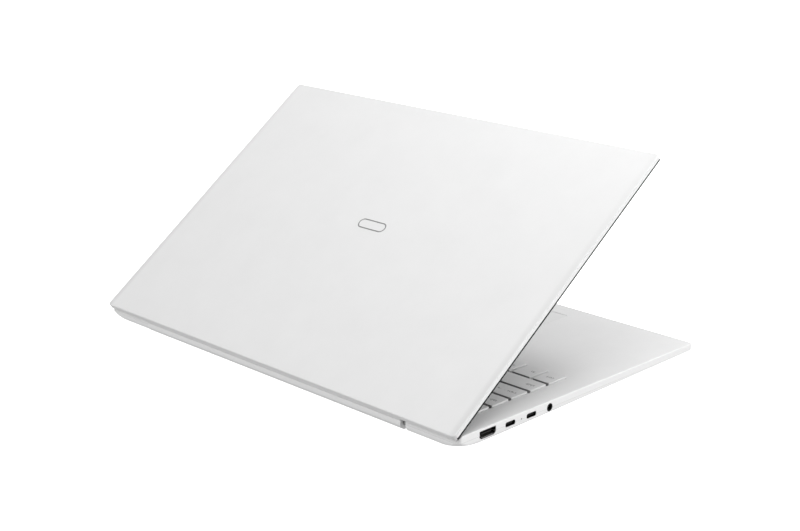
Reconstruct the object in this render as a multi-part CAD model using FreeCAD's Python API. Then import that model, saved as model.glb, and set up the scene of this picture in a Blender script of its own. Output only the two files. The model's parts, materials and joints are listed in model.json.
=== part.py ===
"""Thin, light clamshell laptop computer, 17 inch class, with its lid about one third open.

Frame: +X towards the user's right, +Y towards the hinge, +Z up, millimetres.
The origin is on the table, below the middle of the base's plan outline.
"""
import FreeCAD, Part
import math
import os

Vector = FreeCAD.Vector
X_AXIS = Vector(1, 0, 0)
Y_AXIS = Vector(0, 1, 0)
Z_AXIS = Vector(0, 0, 1)

# ---------------------------------------------------------------- driving dimensions
case_width = 378.8
case_depth = 258.8
closed_height = 17.8
foot_height = 1.6
deck_z = 12.6
split_z = 7.8
plan_corner_r = 3.2
wall = 1.4
deck_thickness = 1.2
floor_thickness = 1.0
deck_edge_round = 0.6
belly_sections = ((split_z, 0.0, plan_corner_r), (5.2, 0.2, 9.0), (3.2, 0.9, 18.0), (foot_height, 2.6, 27.0))

half_width = case_width / 2
half_depth = case_depth / 2
case_x = (-half_width, half_width)
case_y = (-half_depth, half_depth)
inner_x = (-half_width + wall, half_width - wall)
inner_front_y = -half_depth + wall
corner_rear_y = half_depth - wall

# Hinge.
axis_y = 125.0
axis_z = 7.0
rest_opening = 36.4
barrel_r = 4.9
barrel_bore_r = 3.9
barrel_left_x = -137.2
barrel_right_x = 141.0
recess_left_x = -141.6
recess_right_x = 141.6
recess_r = 5.6
recess_front_y = 119.3
centre_rear_y = recess_front_y - wall
neck_front_y = 122.0
pin_r = 2.0
pin_clearance = 0.05
pin_wall_clearance = 0.3
pin_cover_clearance = 0.2
pin_length = 50.0
pin_start = 162.0
arm_outer_r = 3.6
arm_x = (115.0, 133.0)
arm_leaf_front_y = 111.0
arm_neck_y = (axis_y - 2.0, axis_y - 0.6)
arm_leaf_z = (15.1, 16.1)
arm_screw_y = 116.0
arm_screw_inset = 4.0
arm_clearance = 0.1
bracket_ear_x = (143.2, 160.0)
bracket_ear_r = 2.8
bracket_leaf_x = (143.2, 180.0)
bracket_leaf_y = (111.6, 121.6)
bracket_leaf_z = (10.0, 11.2)
bracket_strap = ((119.6, 11.2), (119.6, 10.0), (123.4, 6.2), (126.0, 8.6), (122.4, 11.2))
bracket_screw_xs = (148.0, 174.0)
bracket_screw_y = 115.5
leaf_screw_r = 1.0

# Lid.
lid_front_y = -129.0
lid_rear_y = 127.5
lid_inner_z = 13.6
lid_shell_z = 15.0
lid_corner_r = 2.6
lid_wall = 1.2
lid_skin = 0.9
lid_edge_round = 0.7
lid_x = (-half_width, half_width)
lid_y = (lid_front_y, lid_rear_y)
bezel_inset = 0.05
bezel_rear_gap = 0.1
neck_groove_z = (13.4, 13.6)
neck_groove_depth = 1.0
gasket_inset = 1.0
gasket_width = 1.2
gasket_height = 0.7
gasket_rear_y = 104.0
gasket_corner_r = 3.5
screen_x = (-183.2, 183.2)
screen_y = (-120.5, 109.6)
screen_corner_r = 1.0
glass_overlap = 1.0
glass_thickness = 0.6
panel_overlap = 0.5
panel_thickness = 1.2
camera_y = -124.6
camera_hole_r = 2.0
lens_r = 1.9
lens_inset = 0.1
camera_board_half = 22.0
camera_board_y = (camera_y - 2.4, camera_y + 2.0)
camera_board_z = (15.1, 16.3)
aerial_x = (146.0, 182.0)
aerial_y = (113.0, 123.0)
aerial_z = (15.1, 15.8)
cable_x = (-30.0, 60.0)
cable_y = (110.6, 119.0)
cable_z = (15.2, 15.8)
cable_plug_x = (-30.0, -6.0)
cable_plug_y = (110.6, 121.0)
cable_plug_z = (15.1, 16.7)
emblem_length = 28.0
emblem_height = 9.0
emblem_stroke = 1.0
emblem_depth = 0.3
emblem_y = -9.8

# Base shape.
rear_top_r = 4.5
rear_bottom_r = 6.0
side_low_rear_z = 2.7
side_low_front_z = 7.6
belly_slope = 0.334
front_belly_slope = 0.27
facet_run = 40.0
facet_low_z = -20.0

# Keyboard.
key_pitch_x = 18.5
row_pitch_y = 19.8
key_gap = 2.2
key_top_z = 13.8
key_height = 3.4
key_wall = 0.9
key_top_thickness = 1.0
key_corner_r = 1.3
key_bevel = 0.2
key_side_clearance = 0.3
key_well_floor_z = (10.7, 11.5)
key_well_lip = 1.4
keys_left_x = -170.6
space_row_front_y = -4.9
space_row_rear_y = 17.05
function_row_depth = 14.2
keys_rear_y = space_row_rear_y + 4 * row_pitch_y + function_row_depth
numpad_left_x = 108.3
numpad_right_x = 171.1
key_plate_z = 8.0
key_plate_thickness = 0.4
key_plate_margin = 0.5
key_plate_corner_r = 2.0
dome_r = 2.6
dome_taper = 0.6
dome_height = 2.2
dome_side_gap = 0.4

# Touchpad.
pad_left_x = -83.0
pad_right_x = 48.0
pad_front_y = -111.2
pad_rear_y = -28.6
pad_top_z = 12.5
pad_thickness = 1.1
pad_gap = 0.3
pad_corner_r = 1.7
pad_frame_margin = 4.0
pad_frame_rim = 22.0
pad_frame_thickness = 0.5
pad_frame_gap = 0.7
pad_rail_depth = 3.0
pad_switch_half = 4.0
pad_switch_y = (-103.2, -97.2)
pad_switch_rise = 0.05
weld = 0.2

# Ports, given by the middle of each opening along the side wall.
port_z = 8.1
video_y = 101.4
data_rear_y = 79.0
data_front_y = 57.6
light_y = 67.8
jack_y = 38.4
video_width = 15.6
video_height = 5.4
video_corner_rise = 1.6
video_corner_run = 1.8
video_shell = 0.5
video_tongue_half = 5.0
video_tongue_z = (-0.5, 0.6)
video_tongue_start = 1.2
data_width = 9.6
data_height = 3.2
data_corner_r = 1.2
data_shell = 0.35
data_back = 0.9
data_depth = 8.0
data_tongue_half_z = 0.35
data_tongue_start = 0.8
jack_bore_r = 1.75
jack_length = 14.0
jack_mouth_r = 2.8
jack_mouth_length = 2.2
jack_body_start = 2.0
jack_body_half_y = 3.0
jack_body_half_z = 2.6
light_r = 0.6
light_length = 5.9
light_inset = 0.1
wide_data_width = 13.4
wide_data_height = 4.8
wide_shell = 0.4
wide_tongue_half = 5.2
wide_tongue_z = (0.2, 1.4)
wide_data_ys = (98.0, 78.0)
card_y = 54.0
card_width = 12.4
card_height = 1.8
card_shell = 0.3
port_depth = 14.0
port_recess = 0.2
port_margin = 0.2
socket_back = 1.0

# Mainboard, with its small parts in one row.
board_z = 4.0
board_thickness = 0.8
board_top_z = board_z + board_thickness
board_blocks = (
    ((-172.0, 172.0), (18.0, 46.0)),
    ((-80.0, 80.0), (46.0, 104.0)),
    ((-172.0, -166.0), (46.0, 112.0)),
    ((166.0, 172.0), (46.0, 112.0)),
)
board_part_count = 7
board_part_pitch = 20.0
board_part_first_x = -60.0
board_part_width = 9.0
board_part_y = (24.0, 33.0)
board_part_height = 1.4
chip_x = (-22.0, 22.0)
chip_y = (62.0, 88.0)
chip_height = 0.6
die_x = (-10.0, 12.0)
die_y = (68.0, 80.0)
drive_x = (40.0, 62.0)
drive_y = (22.0, 102.0)
drive_z = (6.4, 7.1)
drive_socket_y = (18.5, 24.0)
drive_socket_height = 1.7
radio_x = (-66.0, -44.0)
radio_y = (60.0, 90.0)
radio_z = (5.0, 5.7)
radio_shield_x = (-64.0, -46.0)
radio_shield_y = (64.0, 84.0)
radio_shield_z = (5.7, 6.8)
radio_post_y = (60.0, 62.0)
radio_post_z = (board_top_z, 5.2)

# Cooling.
pipe_z = (6.0, 7.2)
pipe_half_x = 132.0
pipe_y = (108.6, 113.6)
cold_plate_half_x = 16.0
cold_plate_y = (64.0, 86.0)
cold_plate_thickness = 0.5
link_half_x = 4.0
link_y = (70.0, 110.0)
link_z = (6.2, 7.2)
fin_count = 20
fin_pitch = 2.0
fin_first_x = 93.0
fin_half_thickness = 0.15
fin_y = (108.8, 113.4)
fin_low_z = 2.9
fin_base_x = (92.0, 132.0)
fin_base_y = (108.8, 117.0)
fin_base_thickness = 0.3
fan_y = 84.0
fan_x = 112.0
fan_r = 24.0
fan_low_z = 3.4
fan_high_z = 7.4
fan_skin = 0.4
fan_housing_half = 27.0
fan_housing_rear_y = 108.0
fan_housing_corner_r = 8.0
fan_room_clearance = 1.5
fan_inlet_r = 17.0
fan_inlet_hub_r = 8.0
fan_spoke_half = 1.0
fan_outlet_half = 20.0
shaft_r = 1.2
rotor_z = (3.8, 6.6)
rotor_hub_r = 9.0
rotor_ring_r = (21.5, 23.5)
rotor_ring_height = 0.5
blade_count = 25
blade_start_r = 8.0
blade_end_r = 23.0
blade_half_thickness = 0.3
blade_sweep = 24.0

# Battery and speakers.
battery_frame_x = (-138.0, 138.0)
battery_frame_y = (-92.0, 13.0)
battery_frame_z = (2.8, 3.4)
cell_count = 6
cell_pitch = 45.6
cell_first_x = -136.0
cell_width = 43.6
cell_y = (-90.0, 9.0)
cell_top_z = 7.4
cell_corner_r = 2.0
speaker_x = (-174.0, -142.0)
speaker_y = (-88.0, -18.0)
speaker_z = (5.2, 9.8)
speaker_corner_r = 4.0
cone_place = (-158.0, -53.0)
cone_r = 11.0
cone_depth = 0.4
dome_cap_r = 5.0
dome_cap_z = (9.3, 9.6)

# Air slots.
inlet_rows = 9
inlet_pitch = 4.0
inlet_width = 1.6
inlet_field_r = 22.0
outlet_first_x = 94.0
outlet_pitch = 3.0
outlet_count = 13
outlet_half_width = 0.9
outlet_z = (4.0, 6.8)
speaker_slot_count = 9
speaker_slot_pitch = 2.6
speaker_slot_width = 1.2
speaker_slot_x = (-166.0, -150.0)
speaker_slot_first_y = -64.0

# Case screws and feet.
screw_r = 1.0
screw_head_r = 2.0
screw_head_height = 0.8
screw_head_inset = 0.1
screw_cross_half = 1.2
screw_cross_half_width = 0.25
screw_cross_depth = 0.6
screw_clearance = 0.1
screw_boss_r = 2.6
screw_boss_low = 5.2
screw_tip_z = 9.5
screw_tip_gap = 0.2
screw_places = [(side * x, y) for side in (-1, 1) for x, y in ((150.0, -100.0), (176.0, 0.0), (176.0, 88.0))]
foot_corner_r = 3.4
rear_foot_x = (-150.0, -60.0)
rear_foot_y = (102.0, 109.0)
front_foot_x = (-118.0, -98.0)
front_foot_y = (-98.0, -91.0)
almost = 0.01


# ---------------------------------------------------------------- helpers
def box(x_range, y_range, z_range):
    """A block between two values on each axis."""
    size = [high - low for low, high in (x_range, y_range, z_range)]
    return Part.makeBox(size[0], size[1], size[2], Vector(x_range[0], y_range[0], z_range[0]))


def rod_x(x_range, y, z, radius):
    """A round bar along X."""
    return Part.makeCylinder(radius, x_range[1] - x_range[0], Vector(x_range[0], y, z), X_AXIS)


def rod_z(x, y, z_range, radius):
    """A round bar along Z."""
    return Part.makeCylinder(radius, z_range[1] - z_range[0], Vector(x, y, z_range[0]), Z_AXIS)


def rounded_wire(x_range, y_range, z, radius):
    """A rectangle with round corners, lying level at a height."""
    left, right = x_range
    front, rear = y_range
    reach = radius * math.sqrt(0.5)
    corners = (
        (right - radius, front + radius, 1, -1),
        (right - radius, rear - radius, 1, 1),
        (left + radius, rear - radius, -1, 1),
        (left + radius, front + radius, -1, -1),
    )
    arcs = []
    for x, y, side_x, side_y in corners:
        on_side = Vector(x + side_x * radius, y, z)
        on_end = Vector(x, y + side_y * radius, z)
        middle = Vector(x + side_x * reach, y + side_y * reach, z)
        ends = (on_end, on_side) if side_x * side_y < 0 else (on_side, on_end)
        arcs.append((ends[0], middle, ends[1]))
    edges = []
    for index, (start, middle, end) in enumerate(arcs):
        previous_end = arcs[index - 1][2]
        edges.append(Part.LineSegment(previous_end, start).toShape())
        edges.append(Part.Arc(start, middle, end).toShape())
    return Part.Wire(edges)


def slab(x_range, y_range, z_range, radius):
    """A flat plate with round plan corners."""
    face = Part.Face(rounded_wire(x_range, y_range, z_range[0], radius))
    return face.extrude(Vector(0, 0, z_range[1] - z_range[0]))


def prism_x(points, x_range):
    """A bar along X whose section is a polygon of (y, z) points."""
    corners = [Vector(x_range[0], y, z) for y, z in points]
    face = Part.Face(Part.makePolygon(corners + corners[:1]))
    return face.extrude(Vector(x_range[1] - x_range[0], 0, 0))


def rounded_bar(y, z, width, height, radius, x_range):
    """A bar along X whose section is a rectangle with round corners, wider in Y than in Z."""
    bar = slab(around(0, height / 2), around(y, width / 2), x_range, radius)
    bar.rotate(Vector(0, 0, 0), Y_AXIS, 90)
    bar.translate(Vector(0, 0, z))
    return bar


def group(solids):
    """Separate solids kept together in one node."""
    return Part.makeCompound(list(solids))


def inset(value_range, amount):
    """A range made smaller by the same amount at both ends."""
    return (value_range[0] + amount, value_range[1] - amount)


def around(middle, half):
    """The range of a given half width about a middle value."""
    return (middle - half, middle + half)


def raised(z_range, height):
    """A range moved up by a height."""
    return (z_range[0] + height, z_range[1] + height)


def mirrored(shape):
    """The shape's mirror image across the middle plane."""
    return shape.mirror(Vector(0, 0, 0), X_AXIS)


def opened(shape):
    """A lid piece drawn on the closed computer, turned up to the resting angle."""
    turned = shape.copy()
    turned.rotate(Vector(0, axis_y, axis_z), Vector(-1, 0, 0), rest_opening)
    return turned


def save(name, shape):
    """Write one node, after checking that it is sound."""
    if not shape.isValid() or shape.Volume <= 0:
        raise RuntimeError(name + " is not a valid solid")
    shape.exportStep("parts/" + name + ".step")


# ---------------------------------------------------------------- base shells
def side_cutter(lift):
    """Wedge under the left side: the belly's facet there, raised by a lift for the inside."""
    low_rear = side_low_rear_z + lift
    low_front = side_low_front_z + lift
    drop = belly_slope * facet_run
    ends = []
    for y, low in ((half_depth + 1, low_rear), (-half_depth - 1, low_front)):
        outline = [
            Vector(-half_width - 1, y, low + belly_slope),
            Vector(-half_width + facet_run, y, low - drop),
            Vector(-half_width + facet_run, y, facet_low_z),
            Vector(-half_width - 1, y, facet_low_z),
        ]
        ends.append(Part.makePolygon(outline + outline[:1]))
    return Part.makeLoft(ends, True, True)


def front_cutter(lift):
    """Wedge under the front edge: the belly's facet there."""
    low = side_low_front_z + lift
    outline = [
        (-half_depth - 1, low + front_belly_slope),
        (-half_depth + facet_run, low - front_belly_slope * facet_run),
        (-half_depth + facet_run, facet_low_z),
        (-half_depth - 1, facet_low_z),
    ]
    return prism_x(outline, (-half_width - 1, half_width + 1))


def belly_cutters(lift):
    """Everything that lies outside the belly's side and front facets."""
    left = side_cutter(lift)
    return [left, mirrored(left), front_cutter(lift)]


def rear_cutter(radius, centre_z, z_range):
    """What is cut off to round a rear edge about a line near the rear face."""
    centre_y = half_depth - (rear_top_r if centre_z > split_z else rear_bottom_r)
    across = (-half_width - 1, half_width + 1)
    corner = box(across, (centre_y, half_depth + 1), z_range)
    return corner.cut(rod_x(across, centre_y, centre_z, radius))


def rear_top_cutter(wall_inset):
    """Rounds the upper rear edge, or the inside of its wall."""
    centre_z = deck_z - rear_top_r
    return rear_cutter(rear_top_r - wall_inset, centre_z, (centre_z, deck_z + 1))


def rear_bottom_cutter(wall_inset):
    """Rounds the lower rear edge, or the inside of its wall."""
    centre_z = foot_height + rear_bottom_r
    return rear_cutter(rear_bottom_r - wall_inset, centre_z, (0, centre_z))


def hinge_recess():
    """The bay between the rear corners that the hinge barrel turns in."""
    bay_x = (recess_left_x, recess_right_x)
    barrel_space = rod_x(bay_x, axis_y, axis_z, recess_r)
    behind = box(bay_x, (recess_front_y, half_depth + 1), (0, deck_z + 1))
    return barrel_space.fuse(behind)


def belly_solid(thickness):
    """The bottom cover's outside before its facets are cut, or its inside for a wall thickness."""
    wires = []
    for z, tuck, radius in belly_sections:
        gap = tuck + thickness
        height = z + (floor_thickness if thickness > 0 else 0)
        wires.append(rounded_wire(inset(case_x, gap), inset(case_y, gap), height, radius - thickness))
    return Part.makeLoft(wires, True, True)


def pin_passage():
    """Clearance holes for both hinge pins where they leave the rear corner blocks."""
    wall_x = (recess_left_x - wall - 1, recess_left_x + 1)
    left = rod_x(wall_x, axis_y, axis_z, pin_r + pin_wall_clearance)
    return left.fuse(mirrored(left))


def video_outline(margin):
    """The video socket's section, with a narrower lower half, grown by a margin."""
    half = video_width / 2 + margin
    low = port_z - video_height / 2 - margin
    high = port_z + video_height / 2 + margin
    corner_z = low + video_corner_rise
    bottom_half = half - video_corner_run
    return [
        (video_y - half, high), (video_y - half, corner_z), (video_y - bottom_half, low),
        (video_y + bottom_half, low), (video_y + half, corner_z), (video_y + half, high),
    ]


def data_block(y, margin, x_range):
    """A small data socket's outside at one place, grown by a margin."""
    size = (data_width + 2 * margin, data_height + 2 * margin)
    return rounded_bar(y, port_z, size[0], size[1], data_corner_r + margin, x_range)


def wide_data_block(y, margin, x_range):
    """A wide data socket's outside at one place, grown by a margin."""
    half_y = wide_data_width / 2 + margin
    half_z = wide_data_height / 2 + margin
    return box(x_range, (y - half_y, y + half_y), (port_z - half_z, port_z + half_z))


def card_block(margin, x_range):
    """The card slot's outside, grown by a margin."""
    half_y = card_width / 2 + margin
    half_z = card_height / 2 + margin
    return box(x_range, (card_y - half_y, card_y + half_y), (port_z - half_z, port_z + half_z))


def port_openings():
    """All openings through the two side walls."""
    left_wall = (-half_width - 1, -half_width + wall + 1)
    right_wall = (half_width - wall - 1, half_width + 1)
    cuts = [
        prism_x(video_outline(port_margin), left_wall),
        rod_x(left_wall, jack_y, port_z, jack_mouth_r + port_margin),
        rod_x(left_wall, light_y, port_z, light_r + port_margin / 2),
        card_block(port_margin, right_wall),
    ]
    for y in (data_rear_y, data_front_y):
        cuts.append(data_block(y, port_margin, left_wall))
    for y in wide_data_ys:
        cuts.append(wide_data_block(y, port_margin, right_wall))
    return cuts


def inner_space(z_range):
    """The room inside the base: wide to the rear corners, shallower behind the keyboard."""
    full = slab(inner_x, (inner_front_y, corner_rear_y), z_range, plan_corner_r - wall)
    bay = box((recess_left_x - wall, recess_right_x + wall), (centre_rear_y, half_depth), z_range)
    return full.cut(bay)


def fan_inlets(side):
    """Rows of round-ended slots under one fan, filling a circle."""
    slots = []
    slot_z = (foot_height - 1, foot_height + floor_thickness + weld)
    for row in range(inlet_rows):
        y = fan_y + (row - (inlet_rows - 1) / 2) * inlet_pitch
        reach = math.sqrt(inlet_field_r ** 2 - (y - fan_y) ** 2)
        slot_x = (side * fan_x - reach, side * fan_x + reach)
        slot_y = (y - inlet_width / 2, y + inlet_width / 2)
        slots.append(slab(slot_x, slot_y, slot_z, inlet_width / 2 - almost))
    return slots


def rear_outlets(side):
    """Upright slots through the wall between the fins and the hinge barrel."""
    slots = []
    for index in range(outlet_count):
        x = side * (outlet_first_x + index * outlet_pitch)
        slot_x = (x - outlet_half_width, x + outlet_half_width)
        slots.append(box(slot_x, (centre_rear_y - 1, recess_front_y + 1), outlet_z))
    return slots


def speaker_slots():
    """Short round-ended slots through the floor under both speakers."""
    slots = []
    for index in range(speaker_slot_count):
        y = speaker_slot_first_y + index * speaker_slot_pitch
        slot_y = (y - speaker_slot_width / 2, y + speaker_slot_width / 2)
        slot = slab(speaker_slot_x, slot_y, (0, split_z), speaker_slot_width / 2 - almost)
        slots += [slot, mirrored(slot)]
    return slots


def vent_slots():
    """Every slot that lets air or sound through the lower shell."""
    slots = speaker_slots()
    for side in (-1, 1):
        slots += fan_inlets(side) + rear_outlets(side)
    return group(slots)


def bottom_cover():
    """Lower shell: flat floor, belly facets, rear corner blocks, air slots and screw holes."""
    shell = belly_solid(0).cut(belly_cutters(0.0) + [rear_bottom_cutter(0), hinge_recess()])
    room = inner_space((foot_height + floor_thickness, split_z + 1)).common(belly_solid(wall))
    room = room.cut(belly_cutters(floor_thickness * 1.1) + [rear_bottom_cutter(wall)])
    shell = shell.cut(room)
    shell = shell.cut(port_openings() + [pin_passage()])
    shell = shell.cut(vent_slots())
    return shell.cut(group(bottom_screw_set(screw_clearance)))


def key_cells():
    """Every key as (group name, left, right, front, rear) of its cell, from the layout below."""
    cells = []

    def add_row(front, rear, entries, left=keys_left_x, pitch=key_pitch_x):
        x = left
        for name, units in entries:
            cells.append((name, x, x + units * pitch, front, rear))
            x += units * pitch

    row_rears = [space_row_rear_y + row_pitch_y * index for index in range(5)]
    space_row = [
        ("key_control_left", 0.94), ("key_function", 1.03), ("key_system", 1.03),
        ("key_alternate_left", 1.25), ("key_space", 5.5),
        ("keys_lower_right", 1.0), ("keys_lower_right", 1.25), ("keys_lower_right", 1.0),
    ]
    add_row(space_row_front_y, space_row_rear_y, space_row)
    arrow_x = keys_left_x + 13 * key_pitch_x
    middle_y = (space_row_front_y + space_row_rear_y) / 2
    for front, rear in ((space_row_front_y, middle_y), (middle_y, space_row_rear_y)):
        cells.append(("keys_lower_right", arrow_x, arrow_x + key_pitch_x, front, rear))
    right_x = arrow_x + key_pitch_x
    cells.append(("keys_lower_right", right_x, right_x + key_pitch_x, space_row_front_y, space_row_rear_y))
    lower = [("key_shift_left", 2.25)] + [("keys_lower_letters", 1)] * 10 + [("key_shift_right", 2.75)]
    home = [("key_caps", 1.75)] + [("keys_home_letters", 1)] * 11 + [("key_enter", 2.25)]
    upper = [("key_tab", 1.5)] + [("keys_upper_letters", 1)] * 12 + [("keys_upper_letters", 1.5)]
    numbers = [("keys_numbers", 1)] * 13 + [("key_backspace", 2)]
    for index, entries in enumerate((lower, home, upper, numbers)):
        add_row(row_rears[index], row_rears[index + 1], entries)
    add_row(row_rears[4], keys_rear_y, [("key_escape", 1)] + [("keys_function_row", 1)] * 14)
    pad_pitch = (numpad_right_x - numpad_left_x) / 4
    top_pad = [("keys_function_row", 1)] * 3 + [("power_button", 1)]
    add_row(row_rears[4], keys_rear_y, top_pad, numpad_left_x, pad_pitch)
    add_row(row_rears[3], row_rears[4], [("keys_numpad", 1)] * 4, numpad_left_x, pad_pitch)
    for index in (2, 1, 0):
        add_row(row_rears[index], row_rears[index + 1], [("keys_numpad", 1)] * 3, numpad_left_x, pad_pitch)
    bottom_pad = [("keys_numpad", 2), ("keys_numpad", 1)]
    add_row(space_row_front_y, space_row_rear_y, bottom_pad, numpad_left_x, pad_pitch)
    tall_x = numpad_left_x + 3 * pad_pitch
    for front, rear in ((row_rears[1], row_rears[3]), (space_row_front_y, row_rears[1])):
        cells.append(("keys_numpad", tall_x, tall_x + pad_pitch, front, rear))
    return cells


key_layout = key_cells()


def cell_ranges(cell, margin):
    """The plan ranges of a key in its cell, grown by a margin."""
    _, left, right, front, rear = cell
    shrink = key_gap / 2 - margin
    return (left + shrink, right - shrink), (front + shrink, rear - shrink)


def keycap(cell):
    """A hollow keycap with round corners and a finely bevelled top edge."""
    x_range, y_range = cell_ranges(cell, 0)
    bottom_z = key_top_z - key_height
    cap = slab(x_range, y_range, (bottom_z, key_top_z), key_corner_r)
    top_edges = [edge for edge in cap.Edges if all(abs(v.Z - key_top_z) < almost for v in edge.Vertexes)]
    cap = cap.makeChamfer(key_bevel, top_edges)
    hollow_z = (bottom_z, key_top_z - key_top_thickness)
    return cap.cut(box(inset(x_range, key_wall), inset(y_range, key_wall), hollow_z))


def key_wells():
    """Plan ranges of the two sunken fields: the main keys, and the number pad with its top row."""
    wells = []
    for left, right in ((keys_left_x, keys_left_x + 15 * key_pitch_x), (numpad_left_x, numpad_right_x)):
        shrink = key_gap / 2 - key_side_clearance
        well_y = inset((space_row_front_y, keys_rear_y), shrink)
        wells.append((inset((left, right), shrink), well_y))
    return wells


def top_case():
    """Upper shell: deck with two sunken key fields and the touchpad's hole, and the upper side walls."""
    shell = slab(case_x, case_y, (split_z, deck_z), plan_corner_r)
    deck_edges = [edge for edge in shell.Edges if all(abs(v.Z - deck_z) < almost for v in edge.Vertexes)]
    shell = shell.makeFillet(deck_edge_round, deck_edges)
    shell = shell.cut([rear_top_cutter(0), hinge_recess()])
    room = inner_space((split_z - 1, deck_z - deck_thickness)).cut(rear_top_cutter(wall))
    shell = shell.cut(room)
    key_bottom = key_top_z - key_height
    corner_r = key_corner_r + key_side_clearance
    for well_x, well_y in key_wells():
        shell = shell.cut(slab(well_x, well_y, (key_bottom, deck_z + 1), corner_r))
        floor_x, floor_y = inset(well_x, -key_well_lip), inset(well_y, -key_well_lip)
        shell = shell.fuse(slab(floor_x, floor_y, key_well_floor_z, corner_r))
    holes = []
    for cell in key_layout:
        x_range, y_range = cell_ranges(cell, key_side_clearance)
        holes.append(slab(x_range, y_range, (key_bottom - 1, deck_z), corner_r))
    shell = shell.cut(group(holes))
    pad_x = (pad_left_x - pad_gap, pad_right_x + pad_gap)
    pad_y = (pad_front_y - pad_gap, pad_rear_y + pad_gap)
    shell = shell.cut(slab(pad_x, pad_y, (key_bottom, deck_z + 1), pad_corner_r + pad_gap))
    shell = shell.cut(port_openings() + [pin_passage()])
    bosses = []
    for x, y in screw_places:
        boss = rod_z(x, y, (screw_boss_low, deck_z - deck_thickness), screw_boss_r)
        bosses.append(boss.cut(rod_z(x, y, (screw_boss_low, screw_tip_z + screw_tip_gap), screw_r)))
    return shell.fuse(bosses)


# ---------------------------------------------------------------- fasteners and feet
def bottom_screw_set(clearance):
    """Countersunk case screws, or their holes when a clearance is given."""
    screws = []
    low = foot_height + screw_head_inset
    for x, y in screw_places:
        head = rod_z(x, y, (low - 2 * clearance, low + screw_head_height), screw_head_r + clearance)
        shank = rod_z(x, y, (low, screw_tip_z), screw_r + clearance)
        screws.append(head.fuse(shank))
    return screws


def bottom_screws():
    """The case screws, each with a cross recess."""
    made = []
    recess_z = (0, foot_height + screw_cross_depth)
    bars = ((screw_cross_half, screw_cross_half_width), (screw_cross_half_width, screw_cross_half))
    for (x, y), screw in zip(screw_places, bottom_screw_set(0.0)):
        for half_x, half_y in bars:
            screw = screw.cut(box((x - half_x, x + half_x), (y - half_y, y + half_y), recess_z))
        made.append(screw)
    return group(made)


def rubber_feet():
    """Two long rear feet and two short front feet, glued under the bottom cover."""
    rear = slab(rear_foot_x, rear_foot_y, (0, foot_height), foot_corner_r)
    front = slab(front_foot_x, front_foot_y, (0, foot_height), foot_corner_r)
    return group([rear, mirrored(rear), front, mirrored(front)])


# ---------------------------------------------------------------- keyboard and touchpad
def keyboard_plate():
    """Thin steel plate that carries the key mechanisms."""
    plate_x = inset((keys_left_x, numpad_right_x), key_plate_margin)
    plate_y = inset((space_row_front_y, keys_rear_y), key_plate_margin)
    return slab(plate_x, plate_y, (key_plate_z, key_plate_z + key_plate_thickness), key_plate_corner_r)


def key_domes():
    """One silicone dome under every key."""
    low = key_plate_z + key_plate_thickness
    domes = []
    for _, left, right, front, rear in key_layout:
        radius = min(dome_r, (rear - front) / 2 - key_gap / 2 - key_wall - dome_side_gap)
        centre = Vector((left + right) / 2, (front + rear) / 2, low)
        domes.append(Part.makeCone(radius, radius * dome_taper, dome_height, centre, Z_AXIS))
    return group(domes)


def touchpad_plate():
    """Glass-topped touchpad, hinged along its rear edge."""
    pad_z = (pad_top_z - pad_thickness, pad_top_z)
    return slab((pad_left_x, pad_right_x), (pad_front_y, pad_rear_y), pad_z, pad_corner_r)


def touchpad_bracket():
    """Steel frame below the touchpad, with its click switch."""
    top = pad_top_z - pad_thickness - pad_frame_gap
    frame_x = inset((pad_left_x, pad_right_x), -pad_frame_margin)
    frame_y = inset((pad_front_y, pad_rear_y), -pad_frame_margin)
    plate = box(frame_x, frame_y, (top - pad_frame_thickness, top))
    window = box(inset(frame_x, pad_frame_rim), inset(frame_y, pad_frame_rim), (top - 1, top + 1))
    rail_y = (frame_y[1] - pad_rail_depth, frame_y[1])
    rail = box(frame_x, rail_y, (top - weld, deck_z - deck_thickness))
    middle_x = (pad_left_x + pad_right_x) / 2
    switch_x = (middle_x - pad_switch_half, middle_x + pad_switch_half)
    switch = box(switch_x, pad_switch_y, (top - weld, top + pad_switch_rise))
    return plate.cut(window).fuse([rail, switch])


# ---------------------------------------------------------------- ports
def left_range(depth):
    """From just inside the left wall's face to a depth."""
    return (-half_width + port_recess, -half_width + port_recess + depth)


def right_range(depth):
    """From a depth to just inside the right wall's face."""
    return (half_width - port_recess - depth, half_width - port_recess)


def video_port():
    """Video socket: a shell with a tapered lower half and a contact tongue."""
    x_range = left_range(port_depth)
    hollow = prism_x(video_outline(-video_shell), (x_range[0] - 1, x_range[1] - socket_back))
    tongue_x = (x_range[0] + video_tongue_start, x_range[1])
    tongue = box(tongue_x, around(video_y, video_tongue_half), raised(video_tongue_z, port_z))
    return prism_x(video_outline(0), x_range).cut(hollow).fuse(tongue)


def data_socket(y, x_range):
    """A round-cornered metal shell with a contact tongue, closed at its back."""
    hollow = data_block(y, -data_shell, (x_range[0] - 1, x_range[1] - data_back))
    tongue_x = (x_range[0] + data_tongue_start, x_range[1] - data_back / 2)
    tongue_y = around(y, (data_width - data_height) / 2)
    tongue = box(tongue_x, tongue_y, around(port_z, data_tongue_half_z))
    return data_block(y, 0, x_range).cut(hollow).fuse(tongue)


def data_ports():
    """Two small data sockets on the left."""
    return group([data_socket(y, left_range(data_depth)) for y in (data_rear_y, data_front_y)])


def wide_data_ports():
    """Two wide data sockets on the right."""
    x_range = right_range(port_depth)
    hollow_x = (x_range[0] + socket_back, x_range[1] + 1)
    sockets = []
    for y in wide_data_ys:
        hollow = wide_data_block(y, -wide_shell, hollow_x)
        tongue_x = (x_range[0], x_range[1] - 1)
        tongue = box(tongue_x, around(y, wide_tongue_half), raised(wide_tongue_z, port_z))
        sockets.append(wide_data_block(y, 0, x_range).cut(hollow).fuse(tongue))
    return group(sockets)


def card_slot():
    """Memory card slot on the right."""
    x_range = right_range(port_depth)
    return card_block(0, x_range).cut(card_block(-card_shell, (x_range[0] + socket_back, x_range[1] + 1)))


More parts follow.
